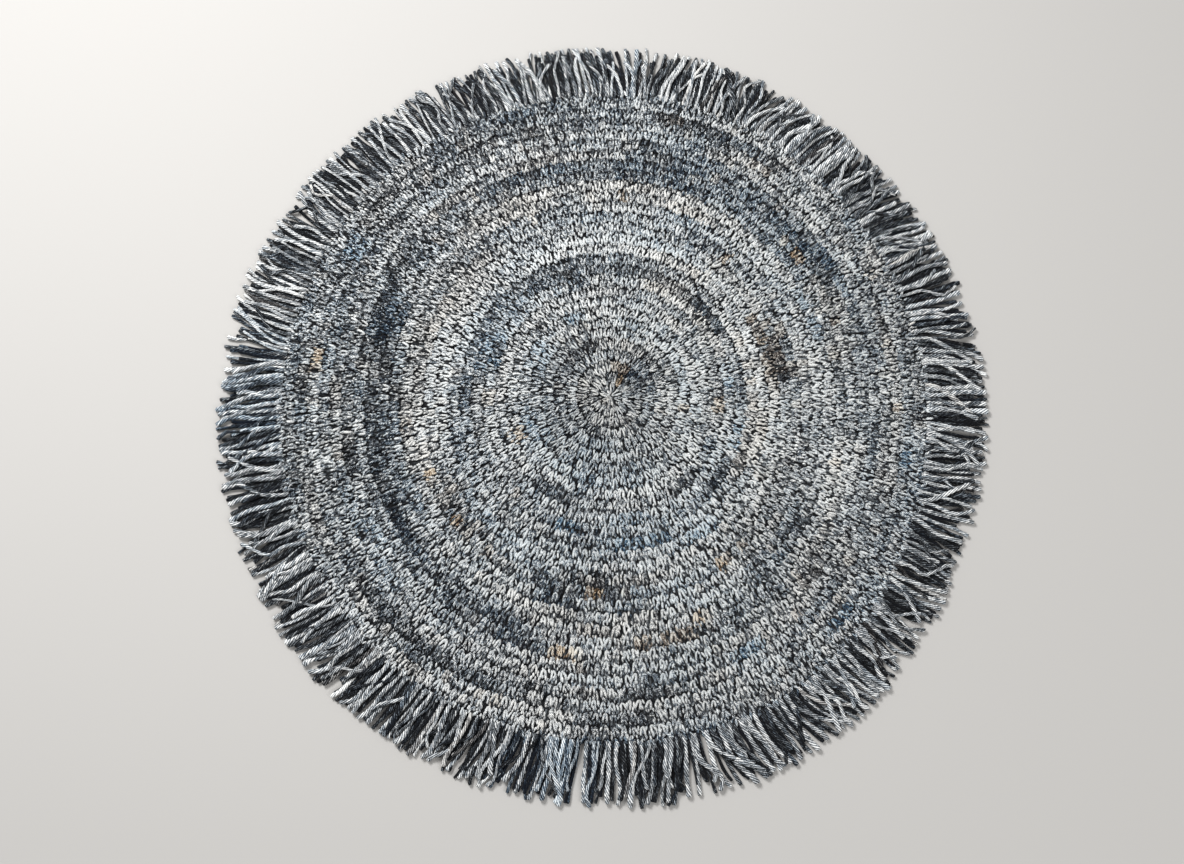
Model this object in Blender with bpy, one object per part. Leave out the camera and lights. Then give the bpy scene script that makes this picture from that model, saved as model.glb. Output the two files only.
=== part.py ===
"""Round crochet rug with a cut yarn fringe, lying flat.

Two sub-parts: the crochet round, worked in rows from the middle out, and the fringe,
whose strands are rooted in a narrow strip of knots around the edge.
"""
import math
import random
from collections import namedtuple

import bmesh
import bpy

# Yarn colours, linear, and how matt it is
ROUND_COLOUR = (0.24, 0.26, 0.29)
FRINGE_COLOUR = (0.28, 0.30, 0.33)
YARN_ROUGHNESS = 0.9

# Crochet round, in metres
ROWS = 28
ROW_TOP = 0.012
ROW_GROOVE = 0.0088
CREST_PLACE = 0.45
MIDDLE_TOP = 0.0105
EDGE_TOP = 0.0085
EDGE_SHOULDER = 0.997
STEPS_ROUND = 60

# Middle of the rows, off the middle of the outline
MIDDLE_X = 0.0145
MIDDLE_Y = 0.0325

# Strip of knots around the edge, in metres
PART_GAP = 0.0004
STRIP_WIDTH = 0.010
STRIP_INNER_TOP = 0.0085
STRIP_OUTER_TOP = 0.0068

# Strands, in metres
STRANDS = 300
ROOT_WIDTH = 0.0066
MID_WIDTH = 0.0064
MID_TOP = 0.0066
TIP_WIDTH = 0.0054
TIP_TOP = 0.0054
MID_AT = 0.5
SWEEP_POWER = 1.5

# How the strands lie, in metres
SEED = 41
GROUP_SMALLEST = 3
GROUP_LARGEST = 8
GROUP_LEAN = 0.005
GROUP_GATHER = 0.4
STRAND_STRAY = 0.0018
LENGTH_STRAY = 0.0045
BOW = 0.0007
TIP_PITCH_LEAST = 0.0076
SETTLE_ROUNDS = 60

# The outline by direction, counter-clockwise from +X: distance from the middle of the rows to
# the fringe's roots, and length of the fringe
Way = namedtuple("Way", "angle_deg edge_mm fringe_mm")
OUTLINE = (
    Way(0, 494, 89),
    Way(15, 487, 85),
    Way(30, 484, 79),
    Way(45, 482, 75),
    Way(60, 484, 76),
    Way(75, 486, 76),
    Way(90, 487, 75),
    Way(105, 491, 77),
    Way(120, 499, 78),
    Way(135, 506, 80),
    Way(150, 510, 84),
    Way(165, 514, 88),
    Way(180, 520, 91),
    Way(195, 527, 90),
    Way(210, 534, 89),
    Way(225, 539, 89),
    Way(240, 541, 88),
    Way(255, 540, 89),
    Way(270, 539, 89),
    Way(285, 541, 87),
    Way(300, 539, 85),
    Way(315, 528, 82),
    Way(330, 512, 83),
    Way(345, 501, 84),
)

# How far the tips of each lock of strands lean counter-clockwise, by direction
Lock = namedtuple("Lock", "angle_deg lean_mm")
LOCKS = (
    Lock(0, 0), Lock(5, -24), Lock(10, -34), Lock(15, -12), Lock(19, 6), Lock(25, -4),
    Lock(32, -12), Lock(38, -22), Lock(43, 10), Lock(50, -12), Lock(60, -26), Lock(66, 0),
    Lock(70, 8), Lock(76, -22), Lock(83, -18), Lock(89, 26), Lock(95, 2), Lock(105, 4),
    Lock(115, 14), Lock(125, 6), Lock(132, 18), Lock(137, -6), Lock(141, 10), Lock(147, -12),
    Lock(155, 2), Lock(167, -16), Lock(172, -14), Lock(177, 12), Lock(190, 0), Lock(202, -6),
    Lock(208, 14), Lock(218, -16), Lock(228, -18), Lock(240, -14), Lock(250, -18),
    Lock(260, -3), Lock(267, -7), Lock(272, 4), Lock(279, -32), Lock(287, 28), Lock(295, 20),
    Lock(304, 26), Lock(312, 12), Lock(318, -4), Lock(323, 16), Lock(330, 2), Lock(336, -10),
    Lock(340, 10), Lock(347, 18), Lock(355, 2),
)

Strand = namedtuple("Strand", "root_angle tip_shift length bow")


def around(angle, column):
    """Value of an outline column in a direction, eased between its rows."""
    step = 360 / len(OUTLINE)
    place = (math.degrees(angle) % 360) / step
    low = int(place) % len(OUTLINE)
    part = place - int(place)
    before, here, after, beyond = (getattr(OUTLINE[(low + k) % len(OUTLINE)], column) / 1000
                                   for k in (-1, 0, 1, 2))
    rise_here = (after - before) / 2
    rise_after = (beyond - here) / 2
    square = part * part
    cube = square * part
    return ((2 * cube - 3 * square + 1) * here + (cube - 2 * square + part) * rise_here
            + (3 * square - 2 * cube) * after + (cube - square) * rise_after)


def spot(angle, radius, sideways, height):
    """Point at a direction and distance from the middle of the rows, then moved sideways."""
    out = (math.cos(angle), math.sin(angle))
    return (MIDDLE_X + out[0] * radius - out[1] * sideways,
            MIDDLE_Y + out[1] * radius + out[0] * sideways, height)


def lean_at(angle):
    """How far a strand's tip leans counter-clockwise, between the locks on either side."""
    degrees = math.degrees(angle) % 360
    after = next((i for i, lock in enumerate(LOCKS) if lock.angle_deg > degrees), 0)
    here, there = LOCKS[after - 1], LOCKS[after]
    part = (degrees - here.angle_deg) / ((there.angle_deg - here.angle_deg) % 360)
    return (here.lean_mm + part * (there.lean_mm - here.lean_mm)) / 1000


def turn_of(shift, length, share):
    """How far a strand has turned from straight outwards at a share of its length."""
    return math.atan(shift * SWEEP_POWER * share ** (SWEEP_POWER - 1) / length)


def lay_strands():
    """Lay every strand in locks of a few, with tips that keep clear of each other."""
    rng = random.Random(SEED)
    pitch = math.tau / STRANDS
    laid = []
    while len(laid) < STRANDS:
        count = min(rng.randint(GROUP_SMALLEST, GROUP_LARGEST), STRANDS - len(laid))
        lean = rng.uniform(-GROUP_LEAN, GROUP_LEAN)
        gather = rng.uniform(0, GROUP_GATHER)
        first = len(laid)
        for i in range(first, first + count):
            angle = (i + 0.5) * pitch
            from_middle = (i - first - (count - 1) / 2) * pitch * around(angle, "edge_mm")
            shift = (lean_at(angle) + lean - gather * from_middle
                     + rng.uniform(-STRAND_STRAY, STRAND_STRAY))
            length = around(angle, "fringe_mm") + rng.uniform(-LENGTH_STRAY, LENGTH_STRAY)
            laid.append([angle, shift, length, rng.uniform(-BOW, BOW)])
    for _ in range(SETTLE_ROUNDS):
        for i in range(STRANDS):
            one, two = laid[i - 1], laid[i]
            reach = around(one[0], "edge_mm") + min(one[2], two[2])
            apart = pitch * reach + two[1] - one[1]
            turn = max(abs(turn_of(one[1], one[2], 1)), abs(turn_of(two[1], two[2], 1)))
            least = TIP_PITCH_LEAST / math.cos(turn)
            if apart < least:
                push = (least - apart) / 2
                one[1] -= push
                two[1] += push
    return [Strand(*row) for row in laid]


def new_object(name, colour, collection):
    """An empty mesh object with its own material, linked to the collection."""
    mesh = bpy.data.meshes.new(name)
    thing = bpy.data.objects.new(name, mesh)
    collection.objects.link(thing)
    material = bpy.data.materials.new(name + "_yarn")
    material.use_nodes = True
    shader = material.node_tree.nodes["Principled BSDF"]
    shader.inputs["Base Color"].default_value = (*colour, 1)
    shader.inputs["Roughness"].default_value = YARN_ROUGHNESS
    mesh.materials.append(material)
    return thing


def row_profile():
    """Half section of the round from its middle, over the rows, to the foot of its edge."""
    points = [(0.0, MIDDLE_TOP)]
    for row in range(ROWS):
        points.append(((row + CREST_PLACE) / ROWS, ROW_TOP))
        points.append(((row + 1) / ROWS, ROW_GROOVE))
    points[-1] = (EDGE_SHOULDER, EDGE_TOP)
    points += [(1.0, EDGE_TOP / 2), (1.0, 0.0)]
    return points


def build_round(collection):
    """The crochet round: rows raised on the top, flat underneath."""
    thing = new_object("crochet_round", ROUND_COLOUR, collection)
    bm = bmesh.new()
    verts = [bm.verts.new((share, 0, height)) for share, height in row_profile()]
    edges = [bm.edges.new(pair) for pair in zip(verts, verts[1:])]
    bmesh.ops.spin(bm, geom=verts + edges, cent=(0, 0, 0), axis=(0, 0, 1), angle=math.tau,
                   steps=STEPS_ROUND, use_merge=True)
    bmesh.ops.remove_doubles(bm, verts=bm.verts, dist=1e-6)
    rim = [edge for edge in bm.edges if edge.is_boundary]
    bmesh.ops.edgeloop_fill(bm, edges=rim)
    bmesh.ops.recalc_face_normals(bm, faces=bm.faces)
    for vert in bm.verts:
        share = math.hypot(vert.co.x, vert.co.y)
        angle = math.atan2(vert.co.y, vert.co.x)
        edge = around(angle, "edge_mm") - STRIP_WIDTH - PART_GAP
        vert.co = spot(angle, share * edge, 0, vert.co.z)
    bm.to_mesh(thing.data)
    bm.free()
    for face in thing.data.polygons:
        face.use_smooth = len(face.vertices) < 5


def section(strand, share, width, top):
    """The four corners of a strand's cut across itself, resting level at its foot."""
    edge = around(strand.root_angle, "edge_mm")
    bow = strand.bow * math.sin(math.pi * share)
    sideways = strand.tip_shift * share ** SWEEP_POWER + bow
    turn = turn_of(strand.tip_shift, strand.length, share)
    corners = []
    for side, height in ((-1, 0), (1, 0), (1, top), (-1, top)):
        across = side * width / 2
        corners.append(spot(strand.root_angle,
                            edge + share * strand.length - across * math.sin(turn),
                            sideways + across * math.cos(turn), height))
    return corners


def lay_strip(bm, strands):
    """The strip of knots around the edge, and the outer wall face each strand starts from."""
    inner = []
    for step in range(STEPS_ROUND):
        angle = step * math.tau / STEPS_ROUND
        radius = around(angle, "edge_mm") - STRIP_WIDTH
        inner.append(bm.verts.new(spot(angle, radius, 0, 0)))
    outer = []
    for strand in strands:
        left, right = section(strand, 0, ROOT_WIDTH, 0)[:2]
        outer += [bm.verts.new(left), bm.verts.new(right)]
    share = len(outer) // STEPS_ROUND
    for step in range(STEPS_ROUND):
        ahead = outer[step * share:(step + 1) * share]
        bm.faces.new([inner[step], outer[step * share - 1], *ahead, inner[(step + 1) % STEPS_ROUND]])
    raised = bmesh.ops.extrude_face_region(bm, geom=bm.faces[:])["geom"]
    for vert in raised:
        if isinstance(vert, bmesh.types.BMVert):
            away = (vert.co.x - MIDDLE_X, vert.co.y - MIDDLE_Y)
            middle_of_strip = around(math.atan2(away[1], away[0]), "edge_mm") - STRIP_WIDTH / 2
            is_inner = math.hypot(*away) < middle_of_strip
            vert.co.z = STRIP_INNER_TOP if is_inner else STRIP_OUTER_TOP
    bmesh.ops.recalc_face_normals(bm, faces=bm.faces)
    roots = []
    for left, right in zip(outer[::2], outer[1::2]):
        sides = bm.edges.get((left, right)).link_faces
        roots.append(min(sides, key=lambda face: len(face.verts)))
    return roots


def draw_out(bm, face, strand, share, width, top):
    """Carry a strand's end face on to its next section."""
    face = bmesh.ops.extrude_discrete_faces(bm, faces=[face])["faces"][0]
    centre = face.calc_center_median()
    out = (math.cos(strand.root_angle), math.sin(strand.root_angle))
    low_left, low_right, top_right, top_left = section(strand, share, width, top)
    for vert in face.verts:
        is_left = (vert.co.y - centre.y) * out[0] < (vert.co.x - centre.x) * out[1]
        if vert.co.z < centre.z:
            vert.co = low_left if is_left else low_right
        else:
            vert.co = top_left if is_left else top_right
    return face


def build_fringe(collection):
    """The fringe: strands drawn out of the outer wall of a narrow strip of knots."""
    thing = new_object("fringe", FRINGE_COLOUR, collection)
    strands = lay_strands()
    bm = bmesh.new()
    for strand, root in zip(strands, lay_strip(bm, strands)):
        middle = draw_out(bm, root, strand, MID_AT, MID_WIDTH, MID_TOP)
        draw_out(bm, middle, strand, 1, TIP_WIDTH, TIP_TOP)
    bm.to_mesh(thing.data)
    bm.free()


for old in list(bpy.data.objects):
    bpy.data.objects.remove(old, do_unlink=True)

rug = bpy.data.collections.new("crochet_rug")
bpy.context.scene.collection.children.link(rug)
build_round(rug)
build_fringe(rug)
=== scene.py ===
"""Looks of a round crochet rug: melange yarn stitches in rows, and a twisted, cut yarn fringe."""
import math
import random
from collections import namedtuple

import bmesh
import bpy
import numpy as np
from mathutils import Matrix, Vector


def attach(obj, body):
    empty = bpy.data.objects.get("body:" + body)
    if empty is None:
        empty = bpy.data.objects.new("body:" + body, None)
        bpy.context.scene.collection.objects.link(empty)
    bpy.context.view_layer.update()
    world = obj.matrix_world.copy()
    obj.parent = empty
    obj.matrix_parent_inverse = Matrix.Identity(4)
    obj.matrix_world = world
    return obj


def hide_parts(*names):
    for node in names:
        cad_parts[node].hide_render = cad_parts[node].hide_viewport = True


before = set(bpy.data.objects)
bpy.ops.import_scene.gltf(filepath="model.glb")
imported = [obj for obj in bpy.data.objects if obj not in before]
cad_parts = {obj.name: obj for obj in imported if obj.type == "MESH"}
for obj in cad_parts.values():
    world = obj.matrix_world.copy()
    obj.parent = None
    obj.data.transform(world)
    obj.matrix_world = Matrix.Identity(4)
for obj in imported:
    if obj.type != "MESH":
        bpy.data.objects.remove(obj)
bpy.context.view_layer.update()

# Sizes that the solids have too, in metres
ROWS = 28
MIDDLE = (0.0145, 0.0325)
PART_GAP = 0.0004
STRIP_WIDTH = 0.010
STRANDS = 300
SWEEP_POWER = 1.5
SEED = 41
GROUP_SMALLEST, GROUP_LARGEST = 3, 8
GROUP_LEAN = 0.005
GROUP_GATHER = 0.4
STRAND_STRAY = 0.0018
LENGTH_STRAY = 0.0045
BOW = 0.0007
TIP_PITCH_LEAST = 0.0076
SETTLE_ROUNDS = 60

# Edge of the rows and length of the fringe by direction, from the middle of the rows
Way = namedtuple("Way", "angle_deg edge_mm fringe_mm")
OUTLINE = (
    Way(0, 494, 89), Way(15, 487, 85), Way(30, 484, 79), Way(45, 482, 75), Way(60, 484, 76),
    Way(75, 486, 76), Way(90, 487, 75), Way(105, 491, 77), Way(120, 499, 78), Way(135, 506, 80),
    Way(150, 510, 84), Way(165, 514, 88), Way(180, 520, 91), Way(195, 527, 90),
    Way(210, 534, 89), Way(225, 539, 89), Way(240, 541, 88), Way(255, 540, 89),
    Way(270, 539, 89), Way(285, 541, 87), Way(300, 539, 85), Way(315, 528, 82),
    Way(330, 512, 83), Way(345, 501, 84),
)
Lock = namedtuple("Lock", "angle_deg lean_mm")
LOCKS = (
    Lock(0, 0), Lock(5, -24), Lock(10, -34), Lock(15, -12), Lock(19, 6), Lock(25, -4),
    Lock(32, -12), Lock(38, -22), Lock(43, 10), Lock(50, -12), Lock(60, -26), Lock(66, 0),
    Lock(70, 8), Lock(76, -22), Lock(83, -18), Lock(89, 26), Lock(95, 2), Lock(105, 4),
    Lock(115, 14), Lock(125, 6), Lock(132, 18), Lock(137, -6), Lock(141, 10), Lock(147, -12),
    Lock(155, 2), Lock(167, -16), Lock(172, -14), Lock(177, 12), Lock(190, 0), Lock(202, -6),
    Lock(208, 14), Lock(218, -16), Lock(228, -18), Lock(240, -14), Lock(250, -18),
    Lock(260, -3), Lock(267, -7), Lock(272, 4), Lock(279, -32), Lock(287, 28), Lock(295, 20),
    Lock(304, 26), Lock(312, 12), Lock(318, -4), Lock(323, 16), Lock(330, 2), Lock(336, -10),
    Lock(340, 10), Lock(347, 18), Lock(355, 2),
)

# Stitches: each is a loop of yarn in one row, its bend towards the middle of the rug, with
# short lobes of the same yarn between the loops
STITCH_WIDTH = 0.0142
LOOP_RADIUS = 0.0021
LOOP_HALF_WIDTH = 0.0037
LOOP_LENGTH = 0.72
LOOP_START = 0.10
LOOP_BEND_Z, LOOP_FOOT_Z = 0.0093, 0.0066
LOOP_SWELL = ((-1.0, 0.55), (-0.84, 0.96), (-0.5, 1.0), (-0.26, 0.98), (0.0, 0.92),
              (0.26, 0.98), (0.5, 1.0), (0.84, 0.96), (1.0, 0.55))
LOOP_SIDES = 4
# The first row's loops start this much further out, and how a loop falls from bend to foot
FIRST_START = 0.12
LOOP_FALL_POWER = 1.3
# Strays of a loop: shares of its width, length and thickness, lean in degrees, start in rows,
# height and tilt in metres
LoopStray = namedtuple("LoopStray", "width length thick lean_deg start height tilt")
LOOP_STRAY = LoopStray(0.13, 0.11, 0.09, 10, 0.08, 0.0003, 0.0004)
# Lobes: places and lengths in rows, places across in stitches, lean in degrees, width and
# height of the middle in millimetres
Lobe = namedtuple("Lobe", "across along lean length width height")
LOBES = (
    Lobe(0.50, 0.30, 4, 0.50, 3.5, 8.6),
    Lobe(0.30, 0.80, 10, 0.44, 3.3, 8.0),
    Lobe(0.64, 0.88, -4, 0.42, 3.3, 7.8),
    Lobe(0.04, 0.60, -5, 0.40, 3.2, 7.8),
    Lobe(-0.20, 0.98, -12, 0.42, 3.4, 7.8),
    Lobe(0.14, 1.06, 8, 0.38, 3.2, 7.6),
)
LOBE_SIDES = 4
# How a lobe swells along its length: share of the length and of its full width
LOBE_SWELL = ((0.0, 0.40), (0.22, 0.96), (0.78, 0.94), (1.0, 0.38))
# Strays of a lobe: shares of its width and length, lean in degrees, places in rows and in
# stitches, bend as a share, height in metres
LobeStray = namedtuple("LobeStray", "width length lean_deg along across bend height")
LOBE_STRAY = LobeStray(0.12, 0.14, 12, 0.13, 0.07, 0.16, 0.0004)
# Half a lobe's height, how far its middle arches up, and how deep it sits in the cloth
LOBE_THICK, LOBE_ARCH, LOBE_SINK = 0.0021, 0.0011, 0.0006
# The stitches are in this many pieces, by direction
SECTORS = 6
# Mean distance of the edge from the middle of the rows, and how unevenly the stitches follow
# each other, in stitches
MEAN_EDGE = 0.503
STITCH_STRAY = 0.06
# Yarn and stitches are finer in the first rows: rows and shares of the sizes above
FINE_ROWS = ((0, 0.66), (4, 0.74), (8, 0.88), (12, 0.94))
# The first rows start a little off the middle of the others
EYE_SHIFT = (-0.003, -0.008)
EYE_REACH = 0.09

# Changes of tone along the rows: rows and directions from and to, how much lighter, how blue
# and how tan. The yarn changes colour as it is worked
Patch = namedtuple("Patch", "row_from row_to from_deg to_deg tone blue tan")
PATCHES = (
    # Dark lengths
    Patch(2.0, 3.0, 15, 75, -0.12, 0, 0),
    Patch(3.0, 4.0, 10, 52, -0.22, 0.1, 0),
    Patch(3.0, 4.0, 238, 264, -0.38, 0, 0),
    Patch(4.0, 5.0, 60, 140, -0.08, 0, 0),
    Patch(4.0, 5.0, 8, 60, -0.12, 0, 0),
    Patch(4.0, 5.0, 100, 190, -0.16, 0, 0),
    Patch(6.0, 7.0, 185, 215, -0.14, 0, 0),
    Patch(6.0, 7.0, 215, 285, -0.18, 0, 0),
    Patch(7.0, 8.0, 249, 259, -0.24, 0, 0),
    Patch(7.0, 8.0, 32, 52, -0.14, 0.2, 0),
    Patch(11.0, 12.0, 27, 52, -0.38, 0.2, 0),
    Patch(11.0, 12.0, 52, 92, -0.18, 0.1, 0),
    Patch(11.0, 12.0, 96, 128, -0.44, 0.1, 0),
    Patch(10.0, 11.0, 100, 120, -0.26, 0.1, 0),
    Patch(12.0, 13.0, 34, 72, -0.08, 0, 0),
    Patch(12.0, 13.0, 72, 165, -0.10, 0.1, 0),
    Patch(10.0, 12.0, 150, 170, -0.13, 0.5, 0),
    Patch(11.0, 13.0, 168, 186, -0.20, 0, 0.1),
    Patch(9.0, 10.0, 228, 246, -0.26, 0.1, 0),
    Patch(12.0, 13.0, 270, 292, -0.28, 0.4, 0),
    Patch(9.0, 10.0, 305, 335, -0.22, 0.4, 0),
    Patch(11.0, 12.0, 308, 328, -0.26, 0, 0),
    Patch(14.0, 17.0, 3, 28, -0.24, 0, 0.3),
    Patch(15.0, 18.0, 248, 281, -0.34, 0, 0.15),
    Patch(15.0, 16.0, 209, 232, -0.22, -0.3, 0.25),
    Patch(18.0, 21.0, 174, 215, -0.10, 0.05, 0),
    Patch(19.0, 21.0, 158, 173, -0.19, 0.3, 0),
    Patch(20.0, 22.0, 143, 172, -0.16, 0.2, 0),
    Patch(20.0, 21.0, 196, 252, -0.30, 0, 0),
    Patch(21.0, 22.0, 236, 256, -0.20, 0.25, 0),
    Patch(22.0, 23.0, 191, 199, -0.36, 0, 0),
    Patch(20.0, 22.0, 64, 90, -0.16, 0.2, 0),
    Patch(21.0, 22.0, 103, 122, -0.12, 0.3, 0),
    Patch(22.0, 23.0, 33, 48, -0.24, 0.3, 0),
    Patch(23.0, 24.0, 18, 36, -0.24, 0.3, 0),
    Patch(22.0, 24.0, 48, 88, -0.12, 0.1, 0),
    Patch(25.0, 26.0, 12, 24, -0.26, 0, 0),
    Patch(26.0, 27.0, 58, 82, -0.22, 0, 0),
    Patch(25.0, 26.0, 213, 246, -0.30, 0, 0),
    Patch(24.0, 25.0, 272, 284, -0.28, 0, 0),
    Patch(26.0, 27.0, 262, 276, -0.24, 0, 0),
    Patch(23.0, 27.0, 328, 352, -0.13, 0.1, 0),
    Patch(18.0, 20.0, 305, 332, -0.22, 0, 0),
    Patch(26.0, 27.0, 312, 317, -0.30, 0.9, 0),
    # Light lengths
    Patch(5.0, 7.0, 50, 110, 0.08, 0, 0),
    Patch(7.0, 9.0, 284, 330, 0.06, 0, 0),
    Patch(13.0, 15.0, 58, 125, 0.14, 0, 0),
    Patch(13.0, 14.0, 0, 25, 0.10, 0, 0),
    Patch(13.0, 17.0, 143, 163, 0.09, 0, 0),
    Patch(14.0, 17.0, 163, 197, 0.20, 0, 0.05),
    Patch(23.0, 24.0, 90, 160, 0.12, 0, 0),
    Patch(23.0, 24.0, 246, 270, 0.26, 0.1, 0),
    Patch(26.0, 28.0, 253, 263, 0.18, 0, 0),
    Patch(20.0, 22.0, 330, 346, 0.16, 0, 0.05),
    # Broad stretches a little lighter or darker
    Patch(8.0, 18.0, 146, 182, 0.06, 0, 0),
    Patch(8.0, 18.0, 210, 268, -0.015, 0, 0),
    Patch(8.0, 18.0, 268, 300, 0.09, 0, 0),
    Patch(8.0, 18.0, 300, 356, 0.035, 0, 0),
    Patch(18.0, 28.0, 62, 96, -0.05, 0, 0),
    Patch(18.0, 28.0, 96, 182, -0.08, 0, 0),
    Patch(18.0, 28.0, 182, 210, -0.05, 0, 0),
    Patch(18.0, 28.0, 240, 270, -0.03, 0, 0),
    Patch(18.0, 28.0, 330, 362, 0.07, 0, 0),
    # Blue
    Patch(6.0, 8.0, 143, 160, 0.04, 0.45, 0),
    Patch(7.0, 8.0, 110, 120, 0, 1.0, 0),
    Patch(10.0, 11.0, 3, 12, 0.05, 0.6, 0),
    Patch(11.0, 12.0, 248, 255, 0, 1.0, 0),
    Patch(11.0, 12.0, 330, 346, 0, 0.7, 0),
    Patch(12.0, 13.0, 0, 14, 0.05, 0.5, 0),
    Patch(13.0, 14.0, 296, 307, 0.08, 0.5, 0),
    Patch(19.0, 20.0, 16, 28, 0.06, 0.5, 0),
    Patch(23.0, 24.0, 294, 301, -0.10, 0.7, 0),
    Patch(25.0, 27.0, 148, 152, 0.04, 1.0, 0),
    Patch(26.0, 27.0, 344, 349, 0, 0.7, 0),
    # Tan and brown
    Patch(0, 3.0, 0, 360, 0, -0.25, 0.06),
    Patch(1.0, 2.0, 25, 100, -0.08, 0, 0.7),
    Patch(2.0, 3.0, 36, 84, -0.04, 0, 0.5),
    Patch(6.0, 7.0, 242, 253, 0.04, 0, 0.7),
    Patch(6.0, 7.0, 342, 353, 0.05, 0, 0.5),
    Patch(8.0, 9.0, 200, 209, 0.03, 0, 0.6),
    Patch(9.0, 10.0, 347, 356, 0, 0, 0.5),
    Patch(10.0, 11.0, 169, 186, -0.04, 0, 0.35),
    Patch(14.0, 15.0, 20, 28, 0.05, 0, 0.8),
    Patch(15.0, 16.0, 250, 257, 0.04, 0, 0.8),
    Patch(15.0, 16.0, 353, 360, 0, 0, 0.6),
    Patch(15.0, 17.0, 302, 313, -0.12, 0, 0.4),
    Patch(16.0, 17.0, 44, 56, -0.04, 0, 0.5),
    Patch(16.0, 17.0, 203, 208, -0.05, 0, 0.9),
    Patch(16.0, 17.0, 208, 240, -0.06, 0, 0.2),
    Patch(16.0, 17.0, 219, 224, 0, 0, 0.8),
    Patch(16.0, 17.0, 262, 269, 0, 0, 0.7),
    Patch(16.0, 17.0, 296, 304, -0.05, 0, 0.6),
    Patch(18.0, 19.0, 84, 92, -0.10, 0, 0.5),
    Patch(19.0, 20.0, 286, 292, 0, 0, 0.7),
    Patch(20.0, 21.0, 272, 292, -0.10, 0, 0.45),
    Patch(21.0, 22.0, 256, 262, -0.05, 0, 0.8),
    Patch(21.0, 22.0, 31, 42, 0, 0, 0.6),
    Patch(25.0, 26.0, 171, 175, -0.10, 0, 0.8),
    Patch(25.0, 26.0, 356, 360, 0, 0, 0.6),
)
# A patch's ends fade over this many degrees, and a share of half its reach, up to the most
FADE_LEAST, FADE_SHARE, FADE_MOST = 1.5, 0.5, 10
# Tone of the rows from the middle out, before these
ROW_TONES = ((0, 0.13), (1.5, 0.09), (2.5, -0.08), (3.5, -0.05), (5.5, 0.02), (7.5, 0.125),
             (9.5, 0.07), (10.5, 0.13), (11.5, -0.03), (12.5, 0.02), (14, 0.10), (15.5, -0.02),
             (16.5, -0.06), (17.5, -0.02), (18.5, 0.02), (20, -0.045), (24, -0.05), (28, -0.085))
# Slow changes along a row: over how many metres, how much, and whether two rows share them.
# They are laid out for an edge at this distance
STREAK_EDGE = 0.51
Streak = namedtuple("Streak", "reach amount in_pairs seed")
STREAKS = (Streak(0.22, 0.085, False, 21), Streak(0.30, 0.07, True, 22),
           Streak(0.035, 0.165, False, 23))
# Slow changes of tint, which move blue up from its middle and tan down, or the other way.
# Strays add single lengths of either
TINT_STREAKS = (Streak(0.25, 0.7, True, 24), Streak(0.05, 0.7, False, 25))
Tint = namedtuple("Tint", "middle swing stray_middle stray")
BLUE_TINT = Tint(0.225, 0.26, 0, 0.07)
TAN_TINT = Tint(-0.08, -0.16, -0.10, 0.12)
# How patches break up along a row, and the chance that a stitch in one takes its blue or tan
BREAKS = Streak(0.05, 0.7, False, 26)
BREAK_MIDDLE, BREAK_LEAST, BREAK_MOST = 1.3, 0.4, 2
BLUE_CHANCE, TAN_CHANCE = 0.8, 0.5
TAN_CHANGE = 1.05
# Tone from 0, black, to 1, white: that of the round, how strongly all its changes count, and
# the stray of each length of yarn. Then the painted light that lifts the raised loops, and the
# painted shade that darkens the lower lobes between them
TONE_MIDDLE = 0.809
TONE_CHANGE = 1.09
TONE_STRAY = 0.165
LOOP_PAINTED_LIGHT, LOBE_PAINTED_SHADE = 0.05, 0.02
# How much lighter one end of a length of yarn is than its middle, and the other end darker
END_STRAY = 0.30
# Painted shade: how much darker the outer side of a row is than its inner side, by direction,
# as light falling across the rows would shade it, how much this counts by row, and how much of
# it the whole row gets back as painted light
PAINTED_ROW_SHADE = ((10, 0.03), (40, 0.02), (65, 0.08), (100, 0.04), (130, 0.02), (165, 0.0),
              (200, 0.0), (240, 0.17), (285, 0.24), (320, 0.09), (345, 0.04))
PAINTED_ROW_SHADE_ROWS = ((6, 0.9), (24, 1.7))
PAINTED_ROW_SHADE_BALANCE = 0.4

# Strands of the fringe
STRAND_SIDES = 6
STRAND_SWELL = ((0.0, 0.85), (0.12, 1.0), (0.25, 1.0), (0.38, 1.0), (0.5, 1.0), (0.62, 1.0),
                (0.74, 1.0), (0.86, 1.0), (0.965, 1.14), (1.0, 0.94))
ROOT_INSIDE = 0.007
# Radii of light and dark strands and of those below and above them, their strays, and how far
# they wave, in metres
LIGHT_RADIUS, DARK_RADIUS, UNDER_RADIUS, OVER_RADIUS = 0.0035, 0.0028, 0.0029, 0.0032
RADIUS_STRAY, OVER_RADIUS_STRAY = 0.14, 0.16
WAVE, UNDER_WAVE, OVER_WAVE = 0.0052, 0.0024, 0.0085
# How far a strand turns as it waves, and how much thicker and thinner it gets
CURLS_LEAST, CURLS_MOST = 3.5, 8.5
PLUMP, PLUMP_TURNS = 0.12, 1.7
# Heights of the strands' middles, in metres or in radii
LIE_Z, ROOT_RISE, ROOT_REACH = 1.15, 0.0030, 0.2
UNDER_Z = 0.0034
OVER_TIP_Z, OVER_RISE, OVER_REACH = 0.0037, 0.0050, 0.3
# Strands below lie at these shares of the way to the next one above
UNDER_PLACES = (0.3, 0.7)
UNDER_CROSS = 0.004
UNDER_SHORTEST, UNDER_LONGEST = 0.74, 0.97
OVER_STRANDS = 280
OVER_CROSS = 0.018
OVER_SHORTEST = 0.66
# Tones of light and dark strands and their strays, the most light ones in a row, and the
# share of dark ones that come in twos
LIGHT_STRAND, LIGHT_STRAND_STRAY = 0.62, 0.10
DARK_STRAND, DARK_STRAND_STRAY = 0.14, 0.09
LIGHT_RUN = 4
DARK_TWOS = 0.2
# Strands below are charcoal, darkened further as painted shade in the gaps between the strands
# above
UNDER_TONE_AND_SHADE, UNDER_STRAY = -0.12, 0.12
TIP_LIGHTER, TIP_FROM, TIP_FADE = 0.06, 0.86, 0.1
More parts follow.
